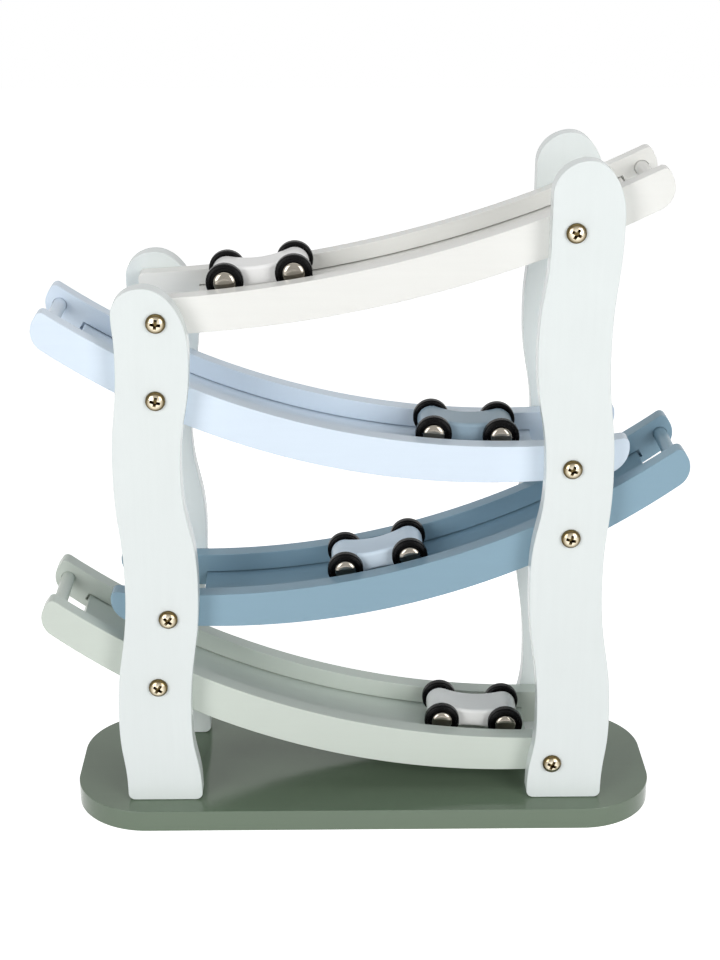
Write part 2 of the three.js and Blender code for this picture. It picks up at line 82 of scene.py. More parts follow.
# Posts: heights are above the base's top, offsets run outwards from the post's centre line
POST_LINE = 87
POST_FOOT_ROUND = 3
POST_FOOT = {"inner": -15.2, "outer": 17.5}
POST_WAVE = {
    "height": (38, 105, 153, 206, 254),
    "inner": (-11.7, -16.7, -11.4, -16.3, -12.4),
    "outer": (19.9, 14.2, 16.8, 13.5, 16.8),
}
# The crown of a post: its top's offset, and each shoulder's offset and drop below the top
POST_CROWN = {
    "left": {"top": 1.5, "inner": (-16.4, 26.8), "outer": (14.3, 10.8)},
    "right": {"top": 2.3, "inner": (-12.3, 13.8), "outer": (16.7, 22.8)},
}
# A bend that lies closer than this below a shoulder gives way to it
SHOULDER_ROOM = 8
# All posts lean a little to the left: how far for each millimetre of height
POST_LEAN = -0.005

# Rails, floors and dowels
RAIL_TOP_ROUND = 2.5
RAIL_UPPER_END_ROUND = 9.5
RAIL_LOW_END_ROUND = 12
RAIL_END_FLAT = 0.5
FLOOR_THICKNESS = 3
GROOVE_DEPTH = 2.5
GROOVE_HEADROOM = 0.5
GROOVE_RUNOUT = 0.9
DOWEL_RADIUS = 3
DOWEL_DROP = 7
DOWEL_SOCKET_DEPTH = 4

# Screws
SCREW_HEAD_RADIUS = 4.1
SCREW_HEAD_HEIGHT = 2.6
SCREW_RIM_HEIGHT = 0.5
SCREW_CROWN_RISE = SCREW_HEAD_HEIGHT - SCREW_RIM_HEIGHT
SCREW_SHANK_RADIUS = 1.9
SCREW_BITE = 4.5
SCREW_POINT = 1.2
CROSS_REACH = 2.5
CROSS_ROOT_REACH = 0.9
CROSS_HALF_WIDTH = 0.66
CROSS_ROOT_HALF_WIDTH = 0.4
CROSS_DEPTH = 1.9
BASE_SCREW_SPREAD = 16
BASE_SCREW_HEAD_RADIUS = 3.7
BASE_SCREW_SINK = 0.3
BASE_SCREW_BITE = 14
FOOT_PILOT_DEPTH = 15
COUNTERSINK_RADIUS = 4
COUNTERSINK_DEPTH = 3
BASE_SCREW_HOLE_RADIUS = 2

# Cars
WHEEL_RADIUS = 7.8
WHEEL_THICKNESS = 4.4
WHEEL_SHOULDER_ROUND = 1.1
TYRE_DEPTH = 1.7
TYRE_BEAD_RADIUS = 0.32
TYRE_DISH_ROUND = 0.25
WHEEL_DISH_DEPTH = 0.8
WHEEL_BASE = 28.7
AXLE_RADIUS = 1.5
CAP_RADIUS = 4.8
CAP_HEIGHT = 1.8
CAP_RIM = 0.4
CAP_FULLNESS = 3.6
CAR_WIDTH = 17.6
CAR_LOBE_RADIUS = 6.1
CAR_WAIST_HALF_HEIGHT = 4

# Facets
ARC_STEPS = 72
CORNER_STEPS = 12
WAVE_STEPS = 20
CROWN_STEPS = 48
EDGE_STEPS = 5
LOBE_STEPS = 36
ROUND_SIDES = 64
DOME_STEPS = 14
BEND_STEPS = 6
SAME_POINT = 0.02
SMOOTH_ANGLE = math.radians(35)
# How far towards a corner's tip the handles of its curve lie, to make it nearly round
QUARTER_HANDLE = 0.5523

# Tracks from top to bottom, each drawn with its upper end to the right and turned by climb.
# The rails' top edge is an arc of radius round the car's hinge, and their lower edge an arc of
# under_radius whose lowest point is at under_lowest, depth below the top edge's lowest point.
TRACKS = {
    "top": {
        "climb": 1, "radius": 540.3, "under_radius": 496.5, "under_lowest": -102.4, "depth": 14.5,
        "low_overhang": 9, "upper_overhang": 35.9, "dowel_setback": 6.5, "floor_setback": 8.6,
        "floor_drop": 7.1, "exit_gap": 17, "low_screw_shift": -2.7, "upper_screw_shift": -4,
    },
    "upper": {
        "climb": -1, "radius": 337.6, "under_radius": 324.3, "under_lowest": -53.2, "depth": 16,
        "low_overhang": 24.2, "upper_overhang": 49.8, "dowel_setback": 6.5, "floor_setback": 10.5,
        "floor_drop": 8.5, "exit_gap": 14, "low_screw_shift": -1.2, "upper_screw_shift": -1.4,
    },
    "lower": {
        "climb": 1, "radius": 346.7, "under_radius": 325.8, "under_lowest": -61.8, "depth": 14.7,
        "low_overhang": 22.6, "upper_overhang": 49.5, "dowel_setback": 5.4, "floor_setback": 9.8,
        "floor_drop": 8.5, "exit_gap": 16.5, "low_screw_shift": -3.1, "upper_screw_shift": -0.7,
    },
    "bottom": {
        "climb": -1, "radius": 347.3, "under_radius": 326.4, "under_lowest": -63.3, "depth": 16,
        "low_overhang": 15, "upper_overhang": 52.7, "dowel_setback": 6, "floor_setback": 9.7,
        "floor_drop": 8.5, "exit_gap": 13, "low_screw_shift": -4.5, "upper_screw_shift": 2.3,
    },
}

# Turn of each front screw's cross, and from one screw under the base to the next, in degrees
SCREW_TURNS = {
    ("top", "low"): 8, ("top", "upper"): 30, ("upper", "low"): 20, ("upper", "upper"): 12,
    ("lower", "low"): 40, ("lower", "upper"): 15, ("bottom", "low"): 25, ("bottom", "upper"): 35,
}
BASE_SCREW_TURN = 20

# Paints as they look, in sRGB
PAINTS = {
    "sage_base": (109, 126, 106),
    "mint_posts": (234, 240, 239),
    "top_track_paint": (242, 242, 238),
    "upper_track_paint": (227, 240, 253),
    "lower_track_paint": (143, 173, 190),
    "bottom_track_paint": (213, 221, 212),
    "top_car_paint": (252, 252, 251),
    "upper_car_paint": (157, 179, 194),
    "lower_car_paint": (228, 243, 255),
    "bottom_car_paint": (251, 251, 249),
}

# Sheen of the paints: roughness and specular level
SATIN = (0.25, 0.18)
SEMI_GLOSS = (0.09, 0.5)

# Texture of the paints: the scales of the wood's grain, of clouds and of the roller's marks, the grain's
# stretch, how far tone and roughness vary, and the relief's strength and its depth in metres
GRAIN_SCALE = 420.0
CLOUD_SCALE = 28.0
ROLLER_SCALE = 1500.0
GRAIN_ALONG_X = (0.06, 1.0, 1.0)
GRAIN_ALONG_Z = (1.0, 1.0, 0.06)
PAINT_TONE_PLAY = 0.02
PAINT_ROUGHNESS_PLAY = 0.03
PAINT_RELIEF = 0.06
PAINT_RELIEF_DEPTH = 0.0004

# Plastic and metal: colours in sRGB, sheen, and the scale and relief of fine scuffs
MOULDED = {
    "black_wheels": {
        "srgb": (8, 8, 9), "roughness": 0.28, "metallic": 0.0, "specular": 0.1,
        "scuff_scale": 900.0, "scuff_relief": 0.05,
    },
    "chrome_axles": {
        "srgb": (150, 144, 134), "roughness": 0.12, "metallic": 1.0, "specular": 0.5,
        "scuff_scale": 1200.0, "scuff_relief": 0.02,
    },
    # Screws: the pale colour is the brass's own and partly painted highlight on the crown; the second
    # colour is painted dark reflection near the rim and painted shade in the recess
    "brass_screws": {
        "srgb": (232, 221, 197), "painted_shade_srgb": (98, 84, 53), "roughness": 0.14, "metallic": 1.0,
        "specular": 0.5, "scuff_scale": 1200.0, "scuff_relief": 0.03,
    },
}
SCUFF_DEPTH = 0.0002
SCUFFS_PER_CLOUD = 8
MOULDED_TONE_PLAY = 0.08
MOULDED_ROUGHNESS_PLAY = 0.2
# Where most of a noise lies between none and one
NOISE_LOW = 0.3
NOISE_HIGH = 0.7

# Screws are darker towards the rim, a painted dark reflection, and in the recess, painted shade. Each
# vertex is marked with its share of the way to the rim or, weighted, of the way down the recess. The
# painted dark colour starts at one mark and is full at the next.
RIM_ATTRIBUTE = "rim"
RIM_START = 0.45
RIM_FULL = 0.85
RECESS_WEIGHT = 1.5

# Studio: a white ground and backdrop, and softboxes whose power is in watts
FLOOR_HALF = 2000
FLOOR_COLOUR = (0.82, 0.82, 0.82, 1.0)
FLOOR_GLOW = 0.82
WORLD_LIGHT = 0.18
WHITE = (1, 1, 1, 1)
LAMP_TARGET = Vector((0, 0, 150))
SOFTBOXES = {
    "left softbox": {"place": (-850, -1150, 560), "width": 700, "height": 900, "power": 9.2},
    "right softbox": {"place": (850, -1150, 560), "width": 700, "height": 900, "power": 9.2},
    "overhead softbox": {"place": (0, 250, 1500), "width": 1400, "height": 1200, "power": 6},
}


def node_box(node):
    """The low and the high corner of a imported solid."""
    low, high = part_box(node)
    return low / MM, high / MM


def joint_place(name):
    joint = next(j for j in frame["joints"] if j["name"] == name)
    return Vector(joint["pos_m"]) / MM


base_high = node_box("base_plate")[1]
BASE_TOP = base_high.z
front_rail_low, front_rail_high = node_box("top_track_front_rail")
RAIL_OUTER_FACE = -front_rail_low.y
RAIL_INNER_FACE = -front_rail_high.y
front_post_low, front_post_high = node_box("left_front_post")
POST_OUTER_FACE = -front_post_low.y
POST_INNER_FACE = -front_post_high.y
SCREW_SEAT = POST_OUTER_FACE + SEAT_GAP / 2
WHEEL_INNER_FACE = CAR_WIDTH / 2 + RUNNING_GAP
CAP_SEAT = WHEEL_INNER_FACE + WHEEL_THICKNESS - WHEEL_DISH_DEPTH + SEAT_GAP


# Outlines


def flat(x, z):
    return Vector((x, z))


def steps(count, place):
    """What a function gives from none to one in even steps."""
    return [place(i / count) for i in range(count + 1)]


def polar(centre, radius, angle):
    return centre + flat(math.cos(angle), math.sin(angle)) * radius


def corner(start, tip, end, count=CORNER_STEPS):
    """Points of a rounded corner between a point on each side of it."""
    first = start.lerp(tip, QUARTER_HANDLE)
    second = end.lerp(tip, QUARTER_HANDLE)
    return interpolate_bezier(start, first, second, end, count)


class Arc:
    """A stretch of track, seen with its upper end to the right."""

    def __init__(self, centre, radius):
        self.centre = centre
        self.radius = radius

    def angle_at(self, place, drop=0):
        return math.asin((place - self.centre.x) / (self.radius + drop))

    def at(self, angle, drop=0):
        return polar(self.centre, self.radius + drop, angle - math.pi / 2)

    def height_at(self, place):
        return self.at(self.angle_at(place)).y

    def run(self, start, end, drop=0):
        return steps(ARC_STEPS, lambda t: self.at(start + (end - start) * t, drop))

    def meet(self, origin, direction):
        """Where a ray from inside the arc leaves it."""
        offset = origin - self.centre
        along = offset.dot(direction)
        length = math.sqrt(along * along - offset.length_squared + self.radius * self.radius) - along
        return origin + direction * length


class Track:
    """Outlines and places of one track."""

    def __init__(self, name, sizes):
        self.name = name
        self.sizes = sizes
        self.climb = sizes["climb"]
        hinge = joint_place(f"{name}_car_roll")
        centre = flat(hinge.x * self.climb, hinge.z)
        self.top = Arc(centre, sizes["radius"])
        under_height = centre.y - sizes["radius"] - sizes["depth"] + sizes["under_radius"]
        self.under = Arc(flat(sizes["under_lowest"], under_height), sizes["under_radius"])
        self.low_end = -POST_LINE - sizes["low_overhang"]
        self.upper_end = POST_LINE + sizes["upper_overhang"]
        self.dowel_along = self.upper_end - sizes["dowel_setback"]
        self.floor_upper_end = self.dowel_along - sizes["floor_setback"]
        self.floor_low_end = -POST_LINE + sizes["exit_gap"]
        self.screws_along = {
            "low": -POST_LINE - sizes["low_screw_shift"],
            "upper": POST_LINE + sizes["upper_screw_shift"],
        }

    def placed(self, p):
        return flat(p.x * self.climb, p.y)

    def rail_end(self, reach, wanted_round, side):
        """One end of a rail from its top edge to its lower edge; side is 1 at the upper end."""
        tip_angle = self.top.angle_at(reach, self.sizes["depth"] / 2)
        tip = self.top.at(tip_angle)
        down = (tip - self.top.centre).normalized()
        heel = self.under.meet(tip, down)
        under_round = min(wanted_round, (tip - heel).length - RAIL_TOP_ROUND - RAIL_END_FLAT)
        top_angle = tip_angle - side * RAIL_TOP_ROUND / self.top.radius
        under_angle = self.under.angle_at(heel.x) - side * under_round / self.under.radius
        points = corner(self.top.at(top_angle), tip, tip + down * RAIL_TOP_ROUND)
        points += corner(heel - down * under_round, heel, self.under.at(under_angle))
        return top_angle, under_angle, points

    def rail_outline(self):
        upper_top, upper_under, upper_points = self.rail_end(self.upper_end, RAIL_UPPER_END_ROUND, 1)
        low_top, low_under, low_points = self.rail_end(self.low_end, RAIL_LOW_END_ROUND, -1)
        outline = self.top.run(low_top, upper_top) + upper_points
        outline += self.under.run(upper_under, low_under) + low_points[::-1]
        return [self.placed(p) for p in outline]

    def strip_outline(self, play=0, headroom=0, runout=0):
        """A strip along the floor with play below it and at its low end, above it, and at its upper end."""
        drop = self.sizes["floor_drop"]
        start = self.top.angle_at(self.floor_low_end - play, drop)
        end = self.top.angle_at(self.floor_upper_end + runout, drop)
        outline = self.top.run(start, end, drop - headroom)
        outline += self.top.run(end, start, drop + FLOOR_THICKNESS + play)
        return [self.placed(p) for p in outline]

    def screw_place(self, end):
        along = self.screws_along[end]
        height = (self.top.height_at(along) + self.under.height_at(along)) / 2
        return self.placed(flat(along, height))

    def dowel_place(self):
        return self.placed(self.top.at(self.top.angle_at(self.dowel_along, DOWEL_DROP), DOWEL_DROP))


tracks = [Track(name, sizes) for name, sizes in TRACKS.items()]


def base_outline():
    long = base_high.x - BASE_CORNER_RADIUS
    wide = base_high.y - BASE_CORNER_RADIUS
    centres = (flat(long, wide), flat(-long, wide), flat(-long, -wide), flat(long, -wide))
    outline = []
    for quarter, centre in enumerate(centres):
        outline += steps(
            CROWN_STEPS, lambda t: polar(centre, BASE_CORNER_RADIUS, (quarter + t) * math.pi / 2)
        )
    return outline


def wave_edge(edge, shoulder):
    """One wavy edge of a post from its foot up to the shoulder."""
    places = [flat(POST_FOOT[edge], POST_FOOT_ROUND)]
    for height, offset in zip(POST_WAVE["height"], POST_WAVE[edge]):
        if height < shoulder.y - SHOULDER_ROOM:
            places.append(flat(offset, height))
    places.append(shoulder)
    points = []
    for start, end in zip(places, places[1:]):
        half = (start.y + end.y) / 2
        points += interpolate_bezier(start, flat(start.x, half), flat(end.x, half), end, WAVE_STEPS)
    return points


def foot_corner(edge, side):
    tip = flat(POST_FOOT[edge], 0)
    inside = flat(POST_FOOT[edge] - side * POST_FOOT_ROUND, 0)
    return corner(inside, tip, flat(POST_FOOT[edge], POST_FOOT_ROUND))


def post_outline(side):
    low, high = node_box(f"{side}_front_post")
    height = high.z - low.z
    crown = POST_CROWN[side]
    top = flat(crown["top"], height)
    (outer, outer_drop), (inner, inner_drop) = crown["outer"], crown["inner"]
    outer_shoulder = flat(outer, height - outer_drop)
    inner_shoulder = flat(inner, height - inner_drop)
    outline = foot_corner("outer", 1)
    outline += wave_edge("outer", outer_shoulder)
    outline += corner(outer_shoulder, flat(outer, height), top, CROWN_STEPS)
    outline += corner(top, flat(inner, height), inner_shoulder, CROWN_STEPS)
    outline += wave_edge("inner", inner_shoulder)[::-1]
    outline += foot_corner("inner", -1)[::-1]
    sign = 1 if side == "right" else -1
    return [flat(sign * (POST_LINE + p.x) + POST_LEAN * p.y, p.y + low.z) for p in outline]


def car_outline():
    """A round lobe over each axle, with a waist that curves between them."""
    half = WHEEL_BASE / 2
    lobe = CAR_LOBE_RADIUS
    waist = CAR_WAIST_HALF_HEIGHT
    sweep = (half * half + waist * waist - lobe * lobe) / (2 * (lobe - waist))
    tangent = math.atan2(waist + sweep, half)
    outline = []
    for side in (1, -1):
        centre = flat(half, 0)
        around = steps(LOBE_STEPS, lambda t: polar(centre, lobe, (math.pi - tangent) * (2 * t - 1)))
        above = flat(0, waist + sweep)
        lean = math.pi / 2 - tangent
        along = steps(LOBE_STEPS, lambda t: polar(above, sweep, lean * (1 - 2 * t) - math.pi / 2))
        outline += [p * side for p in around + along]
    return outline


# Meshes


def cleaned(outline):
    """The outline counter-clockwise, without points that fall on the one before them."""
    points = [p for i, p in enumerate(outline) if (p - outline[i - 1]).length > SAME_POINT]
    area = sum(p.x * q.y - q.x * p.y for p, q in zip(points, points[1:] + points[:1]))
    return points if area > 0 else points[::-1]


def outward(points):
    """Outward directions at the points of a counter-clockwise outline."""
    directions = []
    for i, p in enumerate(points):
        along = (points[(i + 1) % len(points)] - points[i - 1]).normalized()
        directions.append(flat(along.y, -along.x))
    return directions


def new_object(name, vertices, faces):
    mesh = bpy.data.meshes.new(name)
    mesh.from_pydata([Vector(v) * MM for v in vertices], [], faces)
    mesh.validate()
    mesh.update()
    piece = bpy.data.objects.new(name, mesh)
    bpy.context.scene.collection.objects.link(piece)
    return piece


def board(name, outline, near, far, edge_round=0.0):
    """An upright board: an outline in X and Z between two places in Y, with rounded edges."""
    points = cleaned(outline)
    directions = outward(points)
    if edge_round:
        turns = steps(EDGE_STEPS, lambda t: t * math.pi / 2)
        rims = [(edge_round * (1 - math.sin(a)), near + edge_round * (1 - math.cos(a))) for a in turns]
        rims += [(inset, near + far - y) for inset, y in reversed(rims)]
    else:
        rims = [(0, near), (0, far)]
    vertices = []
    for inset, y in rims:
        for p, direction in zip(points, directions):
            q = p - direction * inset
            vertices.append((q.x, y, q.y))
    count = len(points)
    faces = [list(range(count))]
    for ring in range(len(rims) - 1):
        for i in range(count):
            a = ring * count + i
            b = ring * count + (i + 1) % count
            faces.append((b, a, a + count, b + count))
    last = (len(rims) - 1) * count
    faces.append([last + i for i in reversed(range(count))])
    return new_object(name, vertices, faces)


def lathe(name, profile):
    """A solid turned about Y from points of radius and height, from its lower end to its upper one."""
    vertices = []
    rings = []
    for radius, y in profile:
        if radius < SAME_POINT:
            rings.append([len(vertices)])
            vertices.append((0, y, 0))
            continue
        rings.append(list(range(len(vertices), len(vertices) + ROUND_SIDES)))
        for i in range(ROUND_SIDES):
            angle = 2 * math.pi * i / ROUND_SIDES
            vertices.append((radius * math.sin(angle), y, radius * math.cos(angle)))
    faces = []
    for lower, upper in zip(rings, rings[1:]):
        for i in range(ROUND_SIDES):
            j = (i + 1) % ROUND_SIDES
            ring = [lower[k % len(lower)] for k in (i, j)] + [upper[k % len(upper)] for k in (j, i)]
            faces.append(list(dict.fromkeys(ring)))
    # The last ring of a closed section is its first one again
    if profile[0] == profile[-1]:
        first, last = rings[0], rings[-1]
        swap = dict(zip(last, first))
        faces = [[swap.get(v, v) for v in face] for face in faces]
        vertices = vertices[:last[0]]
    return new_object(name, vertices, faces)


def rod(radius, near, far, name="cutter"):
    return lathe(name, [(0, near), (radius, near), (radius, far), (0, far)])


def moved(piece, x=0, y=0, z=0):
    piece.data.transform(Matrix.Translation(Vector((x, y, z)) * MM))
    return piece


def turned(piece, degrees, axis):
    piece.data.transform(Matrix.Rotation(math.radians(degrees), 4, axis))
    return piece


def cut(piece, cutters):
    """Takes the cutters out of a piece and deletes them."""
    for cutter in cutters:
        modifier = piece.modifiers.new("cut", "BOOLEAN")
        modifier.operation = "DIFFERENCE"
        modifier.solver = "EXACT"
        modifier.object = cutter
    depsgraph = bpy.context.evaluated_depsgraph_get()
    solid = bpy.data.meshes.new_from_object(piece.evaluated_get(depsgraph))
    piece.modifiers.clear()
    old = piece.data
    piece.data = solid
    solid.name = old.name
    bpy.data.meshes.remove(old)
    for cutter in cutters:
        mesh = cutter.data
        bpy.data.objects.remove(cutter)
        bpy.data.meshes.remove(mesh)


def smooth(piece):
    piece.data.shade_smooth()
    piece.data.set_sharp_from_angle(angle=SMOOTH_ANGLE)
    weighted = piece.modifiers.new("even shading", "WEIGHTED_NORMAL")
    weighted.keep_sharp = True


# Materials


def linear(srgb):
    """An sRGB colour in linear light, opaque."""
    def channel(value):
        v = value / 255
        return v / 12.92 if v <= 0.04045 else ((v + 0.055) / 1.055) ** 2.4
    return tuple(channel(v) for v in srgb) + (1.0,)


class Nodes:
    """Shorthand for the node tree of a material or a world."""

    def __init__(self, owner):
        owner.use_nodes = True
        self.tree = owner.node_tree
        self.tree.nodes.clear()

    def add(self, kind, inputs=None, **settings):
        node = self.tree.nodes.new(kind)
        for key, value in settings.items():
            setattr(node, key, value)
        for key, value in (inputs or {}).items():
            if isinstance(value, bpy.types.NodeSocket):
                self.tree.links.new(value, node.inputs[key])
            else:
                node.inputs[key].default_value = value
        return node

    def merge(self, operation, first, second):
        return self.add("ShaderNodeMath", {0: first, 1: second}, operation=operation).outputs["Value"]

    def noise(self, place, scale, detail=2.0, roughness=0.5):
        return self.add(
            "ShaderNodeTexNoise",
            {"Vector": place, "Scale": scale, "Detail": detail, "Roughness": roughness},
        ).outputs["Fac"]

    def between(self, factor, low, high, out_low, out_high):
        return self.add(
            "ShaderNodeMapRange",
            {"Value": factor, "From Min": low, "From Max": high, "To Min": out_low, "To Max": out_high},
        ).outputs["Result"]


def coat(nodes, relief, finish):
    """Ends a material's tree in a surface with a relief and a finish."""
    normal = nodes.add("ShaderNodeBump", relief).outputs["Normal"]
    shader = nodes.add("ShaderNodeBsdfPrincipled", {**finish, "Normal": normal})
    nodes.add("ShaderNodeOutputMaterial", {"Surface": shader.outputs["BSDF"]})


def painted_wood(name, srgb, stretch, roughness, specular):
    """Paint over sanded wood: faint long grain, a fine roller texture and a little unevenness."""
    material = bpy.data.materials.new(name)
    nodes = Nodes(material)
    place = nodes.add("ShaderNodeTexCoord").outputs["Object"]
    along = nodes.add("ShaderNodeMapping", {"Vector": place, "Scale": stretch}).outputs["Vector"]
    grain = nodes.noise(along, GRAIN_SCALE, detail=4.0, roughness=0.6)
    cloud = nodes.noise(place, CLOUD_SCALE, detail=3.0)
    roller = nodes.noise(place, ROLLER_SCALE)
    streak = nodes.between(grain, 0.0, 1.0, -PAINT_TONE_PLAY, PAINT_TONE_PLAY)
    tone = nodes.between(cloud, 0.0, 1.0, 1 - PAINT_TONE_PLAY, 1 + PAINT_TONE_PLAY)
    colour = nodes.add(
        "ShaderNodeHueSaturation", {"Value": nodes.merge("ADD", streak, tone), "Color": linear(srgb)}
    ).outputs["Color"]
    least, most = roughness - PAINT_ROUGHNESS_PLAY, roughness + PAINT_ROUGHNESS_PLAY
    relief = {
        "Strength": PAINT_RELIEF,
        "Distance": PAINT_RELIEF_DEPTH,
        "Height": nodes.merge("ADD", grain, roller),
    }
    finish = {
        "Base Color": colour,
        "Roughness": nodes.between(cloud, 0.0, 1.0, least, most),
        "Specular IOR Level": specular,
    }
    coat(nodes, relief, finish)
    return material


def moulded(name, srgb, roughness, metallic, specular, scuff_scale, scuff_relief, painted_shade_srgb=None):
    """Plastic or metal with fine scuffs, a slight unevenness and, if given, painted shade of a second
    colour at the rim and in the recess.
    """
    material = bpy.data.materials.new(name)
    nodes = Nodes(material)
    place = nodes.add("ShaderNodeTexCoord").outputs["Object"]
    fine = nodes.noise(place, scuff_scale, detail=3.0)
    broad = nodes.noise(place, scuff_scale / SCUFFS_PER_CLOUD)
    tone = nodes.between(broad, NOISE_LOW, NOISE_HIGH, 1 - MOULDED_TONE_PLAY, 1 + MOULDED_TONE_PLAY)
    tint = linear(srgb)
    # Painted shade: the second colour darkens the rim, as a painted dark reflection, and the recess, as
    # painted shade
    if painted_shade_srgb:
        mark = nodes.add("ShaderNodeAttribute", attribute_name=RIM_ATTRIBUTE).outputs["Fac"]
        dark = nodes.between(mark, RIM_START, RIM_FULL, 0.0, 1.0)
        tint = nodes.add(
            "ShaderNodeMixRGB", {"Fac": dark, "Color1": tint, "Color2": linear(painted_shade_srgb)}
        ).outputs["Color"]
    colour = nodes.add("ShaderNodeHueSaturation", {"Value": tone, "Color": tint}).outputs["Color"]
    least, most = roughness * (1 - MOULDED_ROUGHNESS_PLAY), roughness * (1 + MOULDED_ROUGHNESS_PLAY)
    finish = {
        "Base Color": colour,
        "Roughness": nodes.between(fine, NOISE_LOW, NOISE_HIGH, least, most),
        "Metallic": metallic,
        "Specular IOR Level": specular,
    }
    coat(nodes, {"Strength": scuff_relief, "Distance": SCUFF_DEPTH, "Height": fine}, finish)
    return material


materials = {}
for slot, srgb in PAINTS.items():
    stretch = GRAIN_ALONG_Z if slot == "mint_posts" else GRAIN_ALONG_X
    sheen = SEMI_GLOSS if slot == "sage_base" else SATIN
    materials[slot] = painted_wood(slot, srgb, stretch, *sheen)
for slot, finish in MOULDED.items():
    materials[slot] = moulded(slot, **finish)


def dress(piece, body, slot, node=None):
    """Finishes a piece, fits it to the body and hides the solid that it stands for."""
    smooth(piece)
    piece.data.materials.clear()
    piece.data.materials.append(materials[slot])
    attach(piece, body)
    if node:
        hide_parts(node)


# Base and posts

foot_middle = POST_LINE + (POST_FOOT["inner"] + POST_FOOT["outer"]) / 2
post_middle = (POST_INNER_FACE + POST_OUTER_FACE) / 2
base_screw_places = [
    (side * (foot_middle + end * BASE_SCREW_SPREAD / 2), face * post_middle)
    for side in (-1, 1) for face in (-1, 1) for end in (-1, 1)
]


def upright(piece, x, y):
    """Stands a piece that was turned about Y on end, at a place on the ground."""
    return moved(turned(piece, 90, "X"), x, y)


def countersink(x, y):
    profile = [
        (0, -SEAT_GAP),
        (COUNTERSINK_RADIUS, -SEAT_GAP),
        (BASE_SCREW_HOLE_RADIUS, COUNTERSINK_DEPTH),
        (BASE_SCREW_HOLE_RADIUS, BASE_TOP + SEAT_GAP),
        (0, BASE_TOP + SEAT_GAP),
    ]
    return upright(lathe("cutter", profile), x, y)


def build_base():
    plate = turned(board("base_plate_board", base_outline(), -BASE_TOP, 0, BASE_EDGE_ROUND), -90, "X")
    cut(plate, [countersink(x, y) for x, y in base_screw_places])
    dress(plate, "frame", "sage_base", "base_plate")


def build_post(side, face_name, face):
    near = -POST_OUTER_FACE if face < 0 else POST_INNER_FACE
    far = -POST_INNER_FACE if face < 0 else POST_OUTER_FACE
    post = board(f"{side}_{face_name}_post_board", post_outline(side), near, far, POST_EDGE_ROUND)
    holes = []
    for track in tracks:
        is_upper = (side == "right") == (track.climb > 0)
        place = track.screw_place("upper" if is_upper else "low")
        hole = rod(SCREW_SHANK_RADIUS + SEAT_GAP, near - SEAT_GAP, far + SEAT_GAP)
        holes.append(moved(hole, place.x, 0, place.y))
    for x, y in base_screw_places:
        if x * (1 if side == "right" else -1) > 0 and y * face > 0:
            pilot = rod(SCREW_SHANK_RADIUS + SEAT_GAP, BASE_TOP, BASE_TOP + FOOT_PILOT_DEPTH)
            holes.append(upright(pilot, x, y))
    cut(post, holes)
    dress(post, "frame", "mint_posts", f"{side}_{face_name}_post")


# Tracks


def build_rail(track, face_name, face):
    def span(start, end):
        return sorted((face * start, face * end))
    slot = f"{track.name}_track_paint"
    near, far = span(RAIL_INNER_FACE, RAIL_OUTER_FACE)
    rail = board(f"{track.name}_{face_name}_rail_board", track.rail_outline(), near, far, RAIL_EDGE_ROUND)
    groove = board(
        "cutter",
        track.strip_outline(SEAT_GAP, GROOVE_HEADROOM, GROOVE_RUNOUT),
        *span(RAIL_INNER_FACE - SEAT_GAP, RAIL_INNER_FACE + GROOVE_DEPTH),
    )
    tie = track.dowel_place()
    socket = rod(
        DOWEL_RADIUS + SEAT_GAP,
        *span(RAIL_INNER_FACE - SEAT_GAP, RAIL_INNER_FACE + DOWEL_SOCKET_DEPTH),
    )
    cutters = [groove, moved(socket, tie.x, 0, tie.y)]
    for end in ("low", "upper"):
        place = track.screw_place(end)
        pilot = rod(
            SCREW_SHANK_RADIUS + SEAT_GAP,
            *span(RAIL_OUTER_FACE - SCREW_BITE - SEAT_GAP, RAIL_OUTER_FACE + SEAT_GAP),
        )
        cutters.append(moved(pilot, place.x, 0, place.y))
    cut(rail, cutters)
    dress(rail, "frame", slot, f"{track.name}_track_{face_name}_rail")


def build_floor(track):
    edge = RAIL_INNER_FACE + GROOVE_DEPTH - SEAT_GAP
    strip = board(f"{track.name}_floor_strip", track.strip_outline(), -edge, edge)
    dress(strip, "frame", f"{track.name}_track_paint", f"{track.name}_track_floor")


def build_dowel(track):
    end = RAIL_INNER_FACE + DOWEL_SOCKET_DEPTH - SEAT_GAP
    place = track.dowel_place()
    peg = moved(rod(DOWEL_RADIUS, -end, end, f"{track.name}_dowel_peg"), place.x, 0, place.y)
    dress(peg, "frame", f"{track.name}_track_paint", f"{track.name}_track_dowel")


# Screws


def crown_height(reach):
    """Where the head of a pan screw is, at a share of the way from its middle to its rim."""
    return -SCREW_RIM_HEIGHT - SCREW_CROWN_RISE * math.sqrt(max(0, 1 - reach * reach))


def mark_painted_shade(piece):
    """Notes at each vertex of a screw how near it lies to the head's rim or to the recess's root, which
    sets its painted shade.
    """
    rim = piece.data.attributes.new(RIM_ATTRIBUTE, "FLOAT", "POINT")
    for vertex, mark in zip(piece.data.vertices, rim.data):
        x, y, z = vertex.co / MM
        reach = math.hypot(x, z) / SCREW_HEAD_RADIUS
        sunk = (y - crown_height(reach)) / CROSS_DEPTH
        mark.value = max(reach, RECESS_WEIGHT * sunk)


